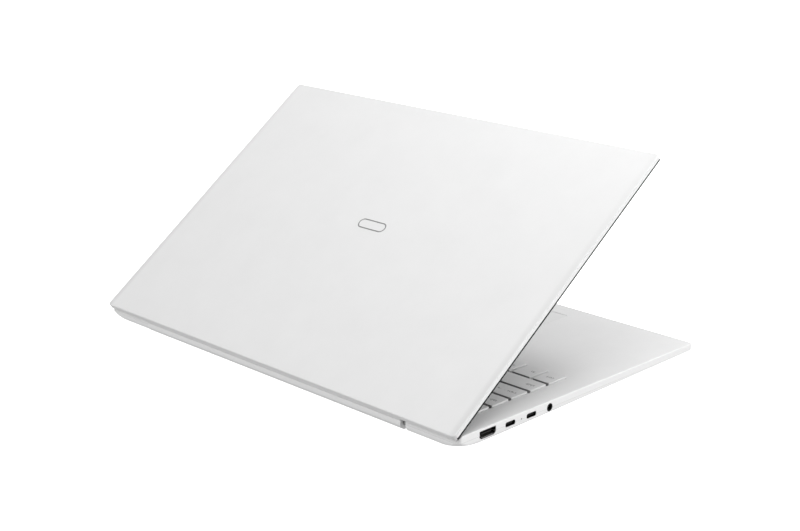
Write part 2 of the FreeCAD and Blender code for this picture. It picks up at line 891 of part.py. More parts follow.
def audio_jack():
    """Audio socket: a block with a round mouth and a plain bore."""
    start = -half_width + port_recess
    block_x = (start + jack_body_start, start + jack_length)
    block = box(block_x, around(jack_y, jack_body_half_y), around(port_z, jack_body_half_z))
    mouth = rod_x((start, start + jack_mouth_length), jack_y, port_z, jack_mouth_r)
    bore = rod_x((start - 1, start + jack_length + 1), jack_y, port_z, jack_bore_r)
    return block.fuse(mouth).cut(bore)


def charge_light():
    """Light pipe of the status light."""
    start = -half_width + light_inset
    return rod_x((start, start + light_length), light_y, port_z, light_r)


# ---------------------------------------------------------------- inside the base
def mainboard():
    """Circuit board behind the battery, between the fans, with its tallest small parts."""
    blocks = [box(x_range, y_range, (board_z, board_top_z)) for x_range, y_range in board_blocks]
    for index in range(board_part_count):
        x = board_part_first_x + index * board_part_pitch
        part_z = (board_top_z - weld, board_top_z + board_part_height)
        blocks.append(box((x, x + board_part_width), board_part_y, part_z))
    return blocks[0].fuse(blocks[1:])


def processor():
    """Processor package on the mainboard."""
    die_low = board_top_z + chip_height
    base = box(chip_x, chip_y, (board_top_z, die_low))
    return base.fuse(box(die_x, die_y, (die_low, pipe_z[0])))


def heat_pipe():
    """Cold plate and flattened pipe out to both fin stacks."""
    plate_z = (pipe_z[0], pipe_z[0] + cold_plate_thickness)
    plate = box(around(0, cold_plate_half_x), cold_plate_y, plate_z)
    pipe = box(around(0, pipe_half_x), pipe_y, pipe_z)
    return plate.fuse([pipe, box(around(0, link_half_x), link_y, link_z)])


def fin_stacks():
    """Two stacks of thin fins on the heat pipe's ends, behind the fans."""
    base = box(fin_base_x, fin_base_y, (fin_low_z, fin_low_z + fin_base_thickness))
    fins = []
    for index in range(fin_count):
        fin_x = around(fin_first_x + fin_pitch * index, fin_half_thickness)
        fins.append(box(fin_x, fin_y, (fin_low_z, pipe_z[0])))
    stack = base.fuse(fins)
    return group([mirrored(stack), stack])


def fan_housing(side):
    """A shallow housing open above, below and to the rear, with a fixed shaft on three spokes."""
    x = side * fan_x
    housing_y = (fan_y - fan_housing_half, fan_housing_rear_y)
    floor_z = fan_low_z - fan_skin
    outer = slab(around(x, fan_housing_half), housing_y, (floor_z, fan_high_z), fan_housing_corner_r)
    room_z = (fan_low_z, fan_high_z - fan_skin)
    room = rod_z(x, fan_y, room_z, fan_r + fan_room_clearance)
    outlet = box(around(x, fan_outlet_half), (fan_y, fan_housing_rear_y + 1), room_z)
    inlet = rod_z(x, fan_y, (fan_low_z, fan_high_z + 1), fan_inlet_r)
    below = rod_z(x, fan_y, (floor_z - 1, fan_low_z), fan_inlet_r)
    below = below.cut(rod_z(x, fan_y, (floor_z - 1, fan_low_z), fan_inlet_hub_r))
    for index in range(3):
        spoke_y = (fan_y, fan_y + fan_inlet_r + 1)
        spoke = box(around(x, fan_spoke_half), spoke_y, (floor_z - 1, fan_low_z))
        spoke.rotate(Vector(x, fan_y, 0), Z_AXIS, index * 120.0)
        below = below.cut(spoke)
    shaft = rod_z(x, fan_y, (fan_low_z - weld, rotor_z[1] - weld / 2), shaft_r)
    return outer.cut([room, outlet, inlet, below]).fuse(shaft)


def fan_housings():
    """Both fan housings."""
    return group([fan_housing(-1), fan_housing(1)])


def fan_rotor(side):
    """Hub and curved ring of blades, turning on the housing's shaft."""
    x = side * fan_x
    ring_z = (rotor_z[0], rotor_z[0] + rotor_ring_height)
    ring = rod_z(x, fan_y, ring_z, rotor_ring_r[1]).cut(rod_z(x, fan_y, ring_z, rotor_ring_r[0]))
    rim = rod_z(x, fan_y, rotor_z, fan_r)
    blades = []
    for index in range(blade_count):
        blade_x = (x + blade_start_r, x + blade_end_r)
        blade = box(blade_x, around(fan_y, blade_half_thickness), rotor_z)
        blade.rotate(Vector(blade_x[0], fan_y, 0), Z_AXIS, side * blade_sweep)
        blade.rotate(Vector(x, fan_y, 0), Z_AXIS, index * 360.0 / blade_count)
        blades.append(blade.common(rim))
    rotor = rod_z(x, fan_y, rotor_z, rotor_hub_r).fuse([ring] + blades)
    return rotor.cut(rod_z(x, fan_y, inset(rotor_z, -1), shaft_r + pin_clearance))


def battery_pack():
    """Six flat cells in a plastic frame, in the front half of the base."""
    cells = []
    for index in range(cell_count):
        x = cell_first_x + index * cell_pitch
        cells.append(slab((x, x + cell_width), cell_y, (battery_frame_z[1], cell_top_z), cell_corner_r))
    return box(battery_frame_x, battery_frame_y, battery_frame_z).fuse(cells)


def storage_drive():
    """Solid-state drive card with its socket, right of the processor."""
    socket = box(drive_x, drive_socket_y, (board_top_z, board_top_z + drive_socket_height))
    return box(drive_x, drive_y, drive_z).fuse(socket)


def wireless_card():
    """Small radio card with its shield, left of the processor."""
    shield = box(radio_shield_x, radio_shield_y, radio_shield_z)
    post = box(radio_x, radio_post_y, radio_post_z)
    return box(radio_x, radio_y, radio_z).fuse([shield, post])


def speakers():
    """Two long speaker boxes beside the battery."""
    left = slab(speaker_x, speaker_y, speaker_z, speaker_corner_r)
    cone_z = (speaker_z[1] - cone_depth, speaker_z[1] + 1)
    left = left.cut(rod_z(cone_place[0], cone_place[1], cone_z, cone_r))
    left = left.fuse(rod_z(cone_place[0], cone_place[1], dome_cap_z, dome_cap_r))
    return group([left, mirrored(left)])


# ---------------------------------------------------------------- hinge
def hinge_bracket(side):
    """Steel base leaf inside the rear corner block, with the ear that grips the pin."""
    ear = rod_x(bracket_ear_x, axis_y, axis_z, bracket_ear_r)
    leaf = box(bracket_leaf_x, bracket_leaf_y, bracket_leaf_z)
    strap = prism_x(bracket_strap, bracket_ear_x)
    bracket = leaf.fuse([ear, strap]).cut(rod_x((bracket_ear_x[0] - 1, pin_start), axis_y, axis_z, pin_r))
    for x in bracket_screw_xs:
        bracket = bracket.cut(rod_z(x, bracket_screw_y, inset(bracket_leaf_z, -1), leaf_screw_r))
    return mirrored(bracket) if side < 0 else bracket


def hinge_pins():
    """Steel pins, fixed in the base brackets, that the lid arms turn on."""
    pin = rod_x((pin_start - pin_length, pin_start), axis_y, axis_z, pin_r)
    return group([pin, mirrored(pin)])


def hinge_arm(side):
    """Steel lid arm: a knuckle round the pin, a neck plate and a leaf in the lid."""
    knuckle = rod_x(arm_x, axis_y, axis_z, arm_outer_r)
    neck = box(arm_x, arm_neck_y, (axis_z, arm_leaf_z[1] - arm_clearance))
    leaf = box(arm_x, (arm_leaf_front_y, arm_neck_y[1]), arm_leaf_z)
    arm = knuckle.fuse([neck, leaf]).cut(rod_x(inset(arm_x, -1), axis_y, axis_z, pin_r + pin_clearance))
    for x in inset(arm_x, arm_screw_inset):
        arm = arm.cut(rod_z(x, arm_screw_y, inset(arm_leaf_z, -1), leaf_screw_r))
    return opened(mirrored(arm) if side < 0 else arm)


def arm_slots():
    """Room for the neck plates of both lid arms."""
    slot_z = (axis_z, lid_shell_z + arm_clearance / 2)
    slot = box(inset(arm_x, -arm_clearance), inset(arm_neck_y, -arm_clearance), slot_z)
    return [mirrored(slot), slot]


def hinge_cover():
    """Centre strip of the lid: the barrel behind the base, and the neck that joins it to the lid."""
    barrel_x = (barrel_left_x, barrel_right_x)
    neck = box(barrel_x, (neck_front_y, lid_rear_y), (axis_z, lid_inner_z))
    groove = box(inset(barrel_x, -1), (lid_rear_y - neck_groove_depth, lid_rear_y + 1), neck_groove_z)
    cover = rod_x(barrel_x, axis_y, axis_z, barrel_r).fuse(neck.cut(groove))
    bore = rod_x(inset(barrel_x, lid_wall), axis_y, axis_z, barrel_bore_r)
    pin_hole = rod_x(inset(barrel_x, -1), axis_y, axis_z, pin_r + pin_cover_clearance)
    return opened(cover.cut([bore, pin_hole] + arm_slots()))


# ---------------------------------------------------------------- lid
def emblem_ring(z_range):
    """A plain capsule outline on the lid."""
    outer_x = around(0, emblem_length / 2)
    outer_y = around(emblem_y, emblem_height / 2)
    end_r = emblem_height / 2 - almost
    outer = slab(outer_x, outer_y, z_range, end_r)
    inner_y = inset(outer_y, emblem_stroke)
    return outer.cut(slab(inset(outer_x, emblem_stroke), inner_y, z_range, end_r - emblem_stroke))


def rear_skirt(z_range):
    """The strip along the lid's rear edge where the shell reaches down past the bezel."""
    return box(inset(lid_x, -1), (lid_rear_y - lid_wall, lid_rear_y + 1), z_range)


def lid_cover():
    """Outer lid shell with a softly rounded rim and a deeper rear wall."""
    shell = slab(lid_x, lid_y, (lid_shell_z, closed_height), lid_corner_r)
    rim = [edge for edge in shell.Edges if all(abs(v.Z - closed_height) < almost for v in edge.Vertexes)]
    shell = shell.makeFillet(lid_edge_round, rim)
    room_z = (lid_shell_z - 1, closed_height - lid_skin)
    room = slab(inset(lid_x, lid_wall), inset(lid_y, lid_wall), room_z, lid_corner_r - lid_wall)
    skirt_z = (lid_inner_z, lid_shell_z)
    skirt = slab(lid_x, lid_y, skirt_z, lid_corner_r).common(rear_skirt(skirt_z))
    shell = shell.cut([room, emblem_ring((closed_height - emblem_depth, closed_height + 1))])
    return opened(shell.fuse(skirt).removeSplitter())


def lid_emblem():
    """Plain capsule outline let into the lid."""
    return opened(emblem_ring((closed_height - emblem_depth, closed_height)))


def display_bezel():
    """Black frame round the screen, with a hole for the camera."""
    frame_x, frame_y = inset(lid_x, bezel_inset), inset(lid_y, bezel_inset)
    frame = slab(frame_x, frame_y, (lid_inner_z, lid_shell_z), lid_corner_r - bezel_inset)
    through_z = (lid_inner_z - 1, lid_shell_z + 1)
    window = slab(screen_x, screen_y, through_z, screen_corner_r)
    camera_hole = rod_z(0, camera_y, through_z, camera_hole_r)
    skirt_room = rear_skirt(inset(through_z, -1))
    skirt_room.translate(Vector(0, -bezel_rear_gap, 0))
    return opened(frame.cut([window, camera_hole, skirt_room] + arm_slots()))


def bezel_gasket():
    """Thin rubber seal round the bezel's edge, which meets the deck when the lid is shut."""
    low = lid_inner_z - gasket_height
    through_z = (low - 1, lid_inner_z + 1)
    outer_x = inset(lid_x, gasket_inset)
    outer_y = (lid_front_y + gasket_inset, gasket_rear_y)
    outer = slab(outer_x, outer_y, (low, lid_inner_z), gasket_corner_r)
    inner_x = inset(outer_x, gasket_width)
    inner = slab(inner_x, inset(outer_y, gasket_width), through_z, gasket_corner_r - gasket_width)
    rear_gap = box(inset(inner_x, 2 * gasket_width), (0, gasket_rear_y + 1), through_z)
    return opened(outer.cut([inner, rear_gap]))


def display_panel():
    """Screen glass and backlight."""
    glass_z = (lid_shell_z, lid_shell_z + glass_thickness)
    panel_z = (glass_z[1], glass_z[1] + panel_thickness)
    glass = slab(inset(screen_x, -glass_overlap), inset(screen_y, -glass_overlap), glass_z, glass_overlap)
    panel_y = inset(screen_y, glass_overlap)
    panel = slab(inset(screen_x, -panel_overlap), panel_y, panel_z, screen_corner_r)
    return opened(glass.fuse(panel))


def camera_module():
    """Camera board behind the bezel."""
    return opened(box(around(0, camera_board_half), camera_board_y, camera_board_z))


def camera_lens():
    """Round camera window in the bezel."""
    return opened(rod_z(0, camera_y, raised((lid_inner_z, lid_shell_z), lens_inset), lens_r))


def antennas():
    """Two thin aerials in the rear edge of the lid."""
    strip = box(aerial_x, aerial_y, aerial_z)
    return opened(group([strip, mirrored(strip)]))


def display_cable():
    """Flat screen cable from the panel's lower edge towards the barrel."""
    run = box(cable_x, cable_y, cable_z)
    return opened(run.fuse(box(cable_plug_x, cable_plug_y, cable_plug_z)))


# ---------------------------------------------------------------- write the nodes
def main():
    """Build every node and write it."""
    os.makedirs("parts", exist_ok=True)
    groups = {}
    for cell in key_layout:
        groups.setdefault(cell[0], []).append(keycap(cell))
    for name, caps in groups.items():
        save(name, caps[0] if len(caps) == 1 else group(caps))
    for side, word in ((-1, "left"), (1, "right")):
        save("fan_rotor_" + word, fan_rotor(side))
        save("hinge_bracket_" + word, hinge_bracket(side))
        save("hinge_arm_" + word, hinge_arm(side))
    makers = (
        top_case, bottom_cover, bottom_screws, rubber_feet, keyboard_plate, key_domes, touchpad_plate,
        touchpad_bracket, video_port, data_ports, wide_data_ports, card_slot, audio_jack, charge_light,
        mainboard, processor, heat_pipe, fin_stacks, fan_housings, battery_pack, storage_drive,
        wireless_card, speakers, hinge_pins, hinge_cover, lid_cover, lid_emblem, display_bezel,
        bezel_gasket, display_panel, camera_module, camera_lens, antennas, display_cable,
    )
    for maker in makers:
        save(maker.__name__, maker())


main()
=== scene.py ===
"""Looks of the white laptop computer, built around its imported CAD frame. Metres, same axes as the CAD."""

import json
import math

import bmesh
import bpy
from mathutils import Matrix, Vector


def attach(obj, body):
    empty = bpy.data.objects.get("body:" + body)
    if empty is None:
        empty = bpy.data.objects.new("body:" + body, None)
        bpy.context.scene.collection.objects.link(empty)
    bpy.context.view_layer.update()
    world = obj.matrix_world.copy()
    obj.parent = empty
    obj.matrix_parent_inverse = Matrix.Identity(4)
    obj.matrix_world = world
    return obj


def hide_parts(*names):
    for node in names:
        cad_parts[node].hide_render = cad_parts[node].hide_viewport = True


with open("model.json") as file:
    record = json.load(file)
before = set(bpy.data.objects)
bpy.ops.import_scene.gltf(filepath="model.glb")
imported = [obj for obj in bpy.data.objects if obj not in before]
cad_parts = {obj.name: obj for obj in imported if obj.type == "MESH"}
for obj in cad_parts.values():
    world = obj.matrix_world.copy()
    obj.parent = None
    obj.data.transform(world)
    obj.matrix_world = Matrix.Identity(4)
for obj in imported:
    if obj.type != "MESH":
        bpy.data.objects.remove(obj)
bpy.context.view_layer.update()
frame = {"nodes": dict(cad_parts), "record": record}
nodes = frame["nodes"]

MM = 0.001

# Soft light from all round: where it comes from, how narrow it is, and how bright.
STUDIO_CARDS = (
    ((0.0, 0.0, -1.0), 1, 0.84),
    ((0.0, 0.75, 0.65), 8, 2.65),
    ((-0.7, -0.7, 0.15), 8, 3.50),
    ((1.0, 0.0, 0.2), 4, 1.26),
    ((0.0, -1.0, 0.1), 4, 1.35),
    ((0.0, 1.0, 0.1), 4, 0.43),
)
# Square lamps: name, place, width and watts.
LAMPS = (
    ("overhead_lamp", (-0.1, -0.12, 0.8), 0.5, 0.75),
    ("front_left_lamp", (-0.3, -0.35, 0.8), 0.3, 3.25),
    ("low_left_lamp", (-0.9, 0.1, 0.35), 0.4, 0.75),
)
LAMP_TARGET = (0.0, 0.0, 0.05)
FLOOR_GLOW = 0.97
FLOOR_HALF_WIDTH = 12.0
FLOOR_DROP = 0.2 * MM
BACKDROP_WHITE = 1.0

# Camera: place in metres, lens and sensor in millimetres, turn in degrees.
CAMERA_PLACE = (-0.8138, 0.8121, 0.4075)
CAMERA_LENS = 70.43
CAMERA_SENSOR = 36.0
CAMERA_YAW = 135.191
CAMERA_PITCH = 16.847
CAMERA_ROLL = 0.3415

# Grey painted on the white parts: painted shade on the lid and keycaps, and a dark seam. A shade is a share
# of the darker colour.
# Painted shade on the lid's side edges: how far inboard it starts and ends, and how it grows from front to
# rear.
LID_EDGE_START = (0.4 * MM, 1.6 * MM)
LID_EDGE_END = (2.0 * MM, 7.0 * MM)
LID_EDGE_Y = (-80 * MM, 125 * MM)
LID_EDGE_SHADE = (0.03, 0.11)
# Painted shade on the lid's rear wall, known by its outward direction at the rest angle.
LID_WALL_NORMAL = (0.0, 0.805, -0.593)
LID_WALL_FACING = (0.9, 0.99)
LID_WALL_SHADE = 0.14
# The seam where the two shells of the base meet: its height, its soft half width and its shade.
SEAM_Z = 7.8 * MM
SEAM_HALF_WIDTH = (0.03 * MM, 0.09 * MM)
SEAM_SHADE = 0.45
# Painted shade on the rear faces of the keycaps, between the rows.
KEY_REAR_FACING = (0.55, 0.9)
KEY_REAR_SHADE = 0.72

# Noise stretch that draws fine lines along x.
DRAWN_ALONG_X = (0.04, 1, 1)

# Keycap shape.
KEY_CORNER_R = 1.3 * MM
KEY_LEAST_R = 0.15 * MM
KEY_CORNER_STEPS = 5
KEY_EDGE_R = 0.28 * MM
KEY_EDGE_STEPS = 4
KEY_DRAFT = 0.12 * MM
KEY_DISH = 0.10 * MM
KEY_WALL = 0.9 * MM
KEY_TOP_THICKNESS = 1.0 * MM
# How much shallower the dish is at a key's front and rear than in its middle.
KEY_DISH_FALL = 0.35
# Rings across a keycap's top, as shares of the way from its rim to its middle.
KEY_TOP_RINGS = (0.12, 0.3, 0.55, 0.8, 0.97)
# Keys whose middles share a band of this depth are in one row.
KEY_ROW_BAND = 4 * MM
LEGEND_MARGIN = 3.6 * MM
LEGEND_SIZE = 4.6 * MM
SINGLE_LETTER_SIZE = LEGEND_SIZE * 1.25
LEGEND_THICKNESS = 0.012 * MM
# Homing bars: their keys, their size, and how far forward they lie as a share of half the key.
HOMING_KEYS = ("F", "J", "5")
HOMING_HALF_LENGTH = 1.8 * MM
HOMING_HALF_WIDTH = 0.3 * MM
HOMING_DEPTH = 0.2 * MM
HOMING_EDGE = HOMING_DEPTH / 4
HOMING_FORWARD = 0.55

# Sockets: where they open and how high they sit.
PORT_FACE_X = 189.2 * MM
PORT_Z = 8.1 * MM
# Spring contacts, in millimetres: side (-1 left), socket y, tongue face z, side of that face, count, pitch,
# half width, and first and last depth.
CONTACT_ROWS = (
    (-1, 101.4, -0.5, -1, 10, 0.9, 0.22, 2.0, 8.0),
    (-1, 79.0, 0.35, 1, 12, 0.5, 0.12, 2.2, 5.0),
    (-1, 79.0, -0.35, -1, 12, 0.5, 0.12, 2.2, 5.0),
    (-1, 57.6, 0.35, 1, 12, 0.5, 0.12, 2.2, 5.0),
    (-1, 57.6, -0.35, -1, 12, 0.5, 0.12, 2.2, 5.0),
    (1, 98.0, 0.2, -1, 4, 2.4, 0.5, 2.0, 9.0),
    (1, 78.0, 0.2, -1, 4, 2.4, 0.5, 2.0, 9.0),
)
CONTACT_THICKNESS = 0.05 * MM
CONTACT_EDGE = 0.02 * MM
# The video socket's spring plate, in millimetres: its outline in y and z from the socket's middle, its
# thickness, and the depths of its two ends.
VIDEO_Y = 101.4 * MM
SLEEVE_FLOOR = -2.16
SLEEVE_PATH = (
    (-7.24, -0.2), (-7.24, -0.9), (-5.75, SLEEVE_FLOOR),
    (5.75, SLEEVE_FLOOR), (7.24, -0.9), (7.24, -0.2),
)
SLEEVE_THICKNESS = 0.14
SLEEVE_DEPTHS = (0.05, 4.0)

# Grid points per metre on which a mesh's corners are taken as one.
WELD_GRID = 1e6


# ---------------------------------------------------------------- shader helpers
class Shader:
    """A new principled material and short ways to add nodes to it."""

    def __init__(self, name, **values):
        self.material = bpy.data.materials.new(name)
        self.material.use_nodes = True
        self.tree = self.material.node_tree
        self.surface = self.tree.nodes["Principled BSDF"]
        for socket, value in values.items():
            self.surface.inputs[socket.replace("_", " ")].default_value = value
        self.coordinates = self.tree.nodes.new("ShaderNodeTexCoord").outputs["Object"]

    def node(self, kind, inputs=None, **settings):
        """Add a node, with its settings, and with each input linked or set."""
        made = self.tree.nodes.new("ShaderNode" + kind)
        for name, value in settings.items():
            setattr(made, name, value)
        for name, value in (inputs or {}).items():
            if isinstance(value, bpy.types.NodeSocket):
                self.tree.links.new(value, made.inputs[name])
            else:
                made.inputs[name].default_value = value
        return made

    def noise(self, scale, detail=3.0, roughness=0.5, stretch=(1, 1, 1)):
        """Noise of about a size in metres, as a value from 0 to 1."""
        vector = self.coordinates
        if stretch != (1, 1, 1):
            vector = self.node("Mapping", {"Vector": vector, "Scale": stretch}).outputs["Vector"]
        settings = {"Vector": vector, "Scale": 1 / scale, "Detail": detail, "Roughness": roughness}
        return self.node("TexNoise", settings).outputs["Fac"]

    def ramp(self, value, low, high, stops):
        """Colours between two values of an input; stops are (place, colour)."""
        limited = self.node("MapRange", {"Value": value, "From Min": low, "From Max": high}).outputs["Result"]
        made = self.node("ValToRGB", {"Fac": limited})
        elements = made.color_ramp.elements
        elements[0].position, elements[0].color = stops[0]
        elements[1].position, elements[1].color = stops[-1]
        for place, colour in stops[1:-1]:
            elements.new(place).color = colour
        return made.outputs["Color"]

    def range(self, value, low, high, out_low, out_high, **settings):
        """A value mapped from one range to another."""
        inputs = {"Value": value, "From Min": low, "From Max": high, "To Min": out_low, "To Max": out_high}
        return self.node("MapRange", inputs, **settings).outputs["Result"]

    def smooth_range(self, value, limits, out_low, out_high):
        """A value eased from one range to another; limits are the ends of the first."""
        return self.range(value, *limits, out_low, out_high, interpolation_type="SMOOTHSTEP")

    def calculated(self, operation, first, second=0.0):
        """The result of a named operation on one or two values."""
        return self.node("Math", {0: first, 1: second}, operation=operation).outputs[0]

    def part_of(self, vector, axis):
        """One coordinate of a vector, by its letter."""
        return self.node("SeparateXYZ", {"Vector": vector}).outputs[axis]

    def mixed(self, share, first, second):
        """A colour socket mixed towards a fixed colour by a share."""
        mix = self.node("Mix", {0: share, 6: first, 7: second}, data_type="RGBA")
        return mix.outputs[2]

    def colour(self, socket):
        """Use a socket as the surface's colour."""
        self.tree.links.new(socket, self.surface.inputs["Base Color"])

    def roughness(self, socket):
        """Use a socket as the surface's roughness."""
        self.tree.links.new(socket, self.surface.inputs["Roughness"])

    def bump(self, height, distance):
        """Bump the surface by a height of 0 to 1 times a distance in metres."""
        bumped = self.node("Bump", {"Height": height, "Distance": distance, "Strength": 1.0})
        self.tree.links.new(bumped.outputs["Normal"], self.surface.inputs["Normal"])


def grey(value):
    """A neutral colour."""
    return (value, value, value, 1.0)


def speckled(name, dark, light, size, rough, grain, grain_size, **values):
    """A moulded or painted surface: two close colours in patches, uneven gloss and fine grain."""
    shader = Shader(name, **values)
    patches = shader.noise(size, 4.0, 0.6)
    shader.colour(shader.ramp(patches, 0.3, 0.7, ((0.0, dark), (1.0, light))))
    shader.roughness(shader.range(shader.noise(size * 0.4, 3.0), 0.3, 0.7, rough[0], rough[1]))
    shader.bump(shader.noise(grain_size, 2.0), grain)
    return shader.material


def brushed(name, dark, light, rough, stretch, line_size=0.4 * MM, **values):
    """Metal with fine drawn lines along one axis."""
    shader = Shader(name, Metallic=1.0, **values)
    lines = shader.noise(line_size, 3.0, 0.6, stretch)
    shader.colour(shader.ramp(lines, 0.25, 0.75, ((0.0, dark), (1.0, light))))
    shader.roughness(shader.range(lines, 0.2, 0.8, rough[0], rough[1]))
    shader.bump(lines, 0.004 * MM)
    return shader.material


def inboard_distance(shader, half_width):
    """How far a point lies inboard of the nearer side edge, in metres."""
    across = shader.calculated("ABSOLUTE", shader.part_of(shader.coordinates, "X"))
    return shader.calculated("SUBTRACT", half_width, across)


def white_shell(name):
    """Satin white paint, ready for a part's own shading or seam on top."""
    shader = Shader(name)
    patches = shader.noise(30 * MM, 4.0, 0.6)
    paint = shader.ramp(patches, 0.3, 0.7, ((0.0, grey(0.780)), (1.0, grey(0.800))))
    shader.roughness(shader.range(shader.noise(12 * MM), 0.3, 0.7, 0.40, 0.48))
    shader.bump(shader.noise(0.25 * MM, 2.0), 0.004 * MM)
    return shader, paint


def lid_paint():
    """White paint, with painted shade along both side edges and on the rear wall of the lid."""
    shader, paint = white_shell("lid_white_paint")
    inboard = inboard_distance(shader, nodes["lid_cover"].bound_box[6][0])
    # Painted shade along the side edges, deeper towards the hinge.
    near = shader.smooth_range(inboard, LID_EDGE_END, 1.0, 0.0)
    off_edge = shader.smooth_range(inboard, LID_EDGE_START, 0.0, 1.0)
    amount = shader.range(shader.part_of(shader.coordinates, "Y"), *LID_EDGE_Y, *LID_EDGE_SHADE)
    band = shader.calculated("MULTIPLY", near, off_edge)
    edge_shaded_paint = shader.mixed(shader.calculated("MULTIPLY", band, amount), paint, grey(0.0))
    # Painted shade on the rear wall, where the surface faces the wall's direction.
    directions = {0: shader.node("TexCoord").outputs["Normal"], 1: LID_WALL_NORMAL}
    facing = shader.node("VectorMath", directions, operation="DOT_PRODUCT").outputs["Value"]
    wall = shader.smooth_range(facing, LID_WALL_FACING, 0.0, LID_WALL_SHADE)
    shader.colour(shader.mixed(wall, edge_shaded_paint, grey(0.0)))
    return shader.material


def base_paint():
    """White paint with the fine dark seam where the upper and lower shells meet."""
    shader, paint = white_shell("base_white_paint")
    above_seam = shader.calculated("SUBTRACT", shader.part_of(shader.coordinates, "Z"), SEAM_Z)
    distance = shader.calculated("ABSOLUTE", above_seam)
    seam = shader.smooth_range(distance, SEAM_HALF_WIDTH, SEAM_SHADE, 0.0)
    shader.colour(shader.mixed(seam, paint, grey(0.02)))
    return shader.material


def keycap_plastic():
    """Matt white plastic, with darker rear faces that stand in for the deep shade between the rows."""
    shader = Shader("keycap_white")
    patches = shader.noise(12 * MM, 4.0, 0.6)
    paint = shader.ramp(patches, 0.3, 0.7, ((0.0, grey(0.775)), (1.0, grey(0.795))))
    rearward = shader.part_of(shader.node("TexCoord").outputs["Normal"], "Y")
    shade = shader.smooth_range(rearward, KEY_REAR_FACING, 0.0, KEY_REAR_SHADE)
    shader.colour(shader.mixed(shade, paint, grey(0.02)))
    shader.roughness(shader.range(shader.noise(4.8 * MM), 0.3, 0.7, 0.46, 0.56))
    shader.bump(shader.noise(0.2 * MM, 2.0), 0.006 * MM)
    return shader.material


def screen_glass():
    """Dark glossy screen with a faint cell grid under the glass."""
    shader = Shader("screen_glass", Coat_Weight=0.6, Coat_Roughness=0.08)
    cells = shader.node("TexBrick", {
        "Vector": shader.coordinates, "Color1": grey(0.0055), "Color2": grey(0.0065), "Mortar": grey(0.004),
        "Scale": 1 / (1.2 * MM), "Mortar Size": 0.06,
    })
    shader.colour(cells.outputs["Color"])
    shader.roughness(shader.range(shader.noise(25 * MM), 0.3, 0.7, 0.16, 0.22))
    shader.bump(shader.noise(0.3 * MM), 0.002 * MM)
    return shader.material


def touchpad_glass():
    """Etched white glass, smoother than the painted deck around it."""
    return speckled("touchpad_glass", grey(0.755), grey(0.775), 20 * MM, (0.36, 0.42), 0.0004 * MM, 0.6 * MM,
                    Coat_Weight=0.15, Coat_Roughness=0.35)


def circuit_board():
    """Green solder mask with fine copper tracks below it and small vias."""
    shader = Shader("circuit_board", Coat_Weight=0.3, Coat_Roughness=0.2)
    tracks = shader.node("TexBrick", {
        "Vector": shader.coordinates, "Color1": (0.010, 0.060, 0.032, 1), "Color2": (0.012, 0.075, 0.040, 1),
        "Mortar": (0.020, 0.120, 0.060, 1), "Scale": 1 / (6 * MM), "Mortar Size": 0.03,
    })
    spread = {"Vector": shader.coordinates, "Scale": 1 / (2.5 * MM), "Randomness": 0.7}
    vias = shader.node("TexVoronoi", spread)
    near = shader.range(vias.outputs["Distance"], 0.08, 0.12, 1.0, 0.0)
    shader.colour(shader.mixed(near, tracks.outputs["Color"], (0.35, 0.26, 0.10, 1)))
    shader.roughness(shader.range(shader.noise(4 * MM), 0.3, 0.7, 0.30, 0.42))
    shader.bump(tracks.outputs["Fac"], 0.02 * MM)
    return shader.material


def battery_film():
    """Black film over the cells, slightly wrinkled."""
    shader = Shader("battery_film")
    shader.colour(shader.ramp(shader.noise(18 * MM), 0.3, 0.7, ((0.0, grey(0.018)), (1.0, grey(0.03)))))
    shader.roughness(shader.range(shader.noise(8 * MM), 0.3, 0.7, 0.28, 0.45))
    shader.bump(shader.noise(9 * MM, 4.0, 0.6, (1, 0.3, 1)), 0.08 * MM)
    return shader.material


def rubber(name, dark, light):
    """Soft rubber with a fine dimpled skin."""
    shader = Shader(name, Specular_IOR_Level=0.35)
    shader.colour(shader.ramp(shader.noise(6 * MM), 0.3, 0.7, ((0.0, dark), (1.0, light))))
    shader.roughness(shader.range(shader.noise(2 * MM), 0.3, 0.7, 0.62, 0.78))
    dimples = shader.node("TexVoronoi", {"Vector": shader.coordinates, "Scale": 1 / (0.5 * MM)})
    shader.bump(dimples.outputs["Distance"], 0.02 * MM)
    return shader.material


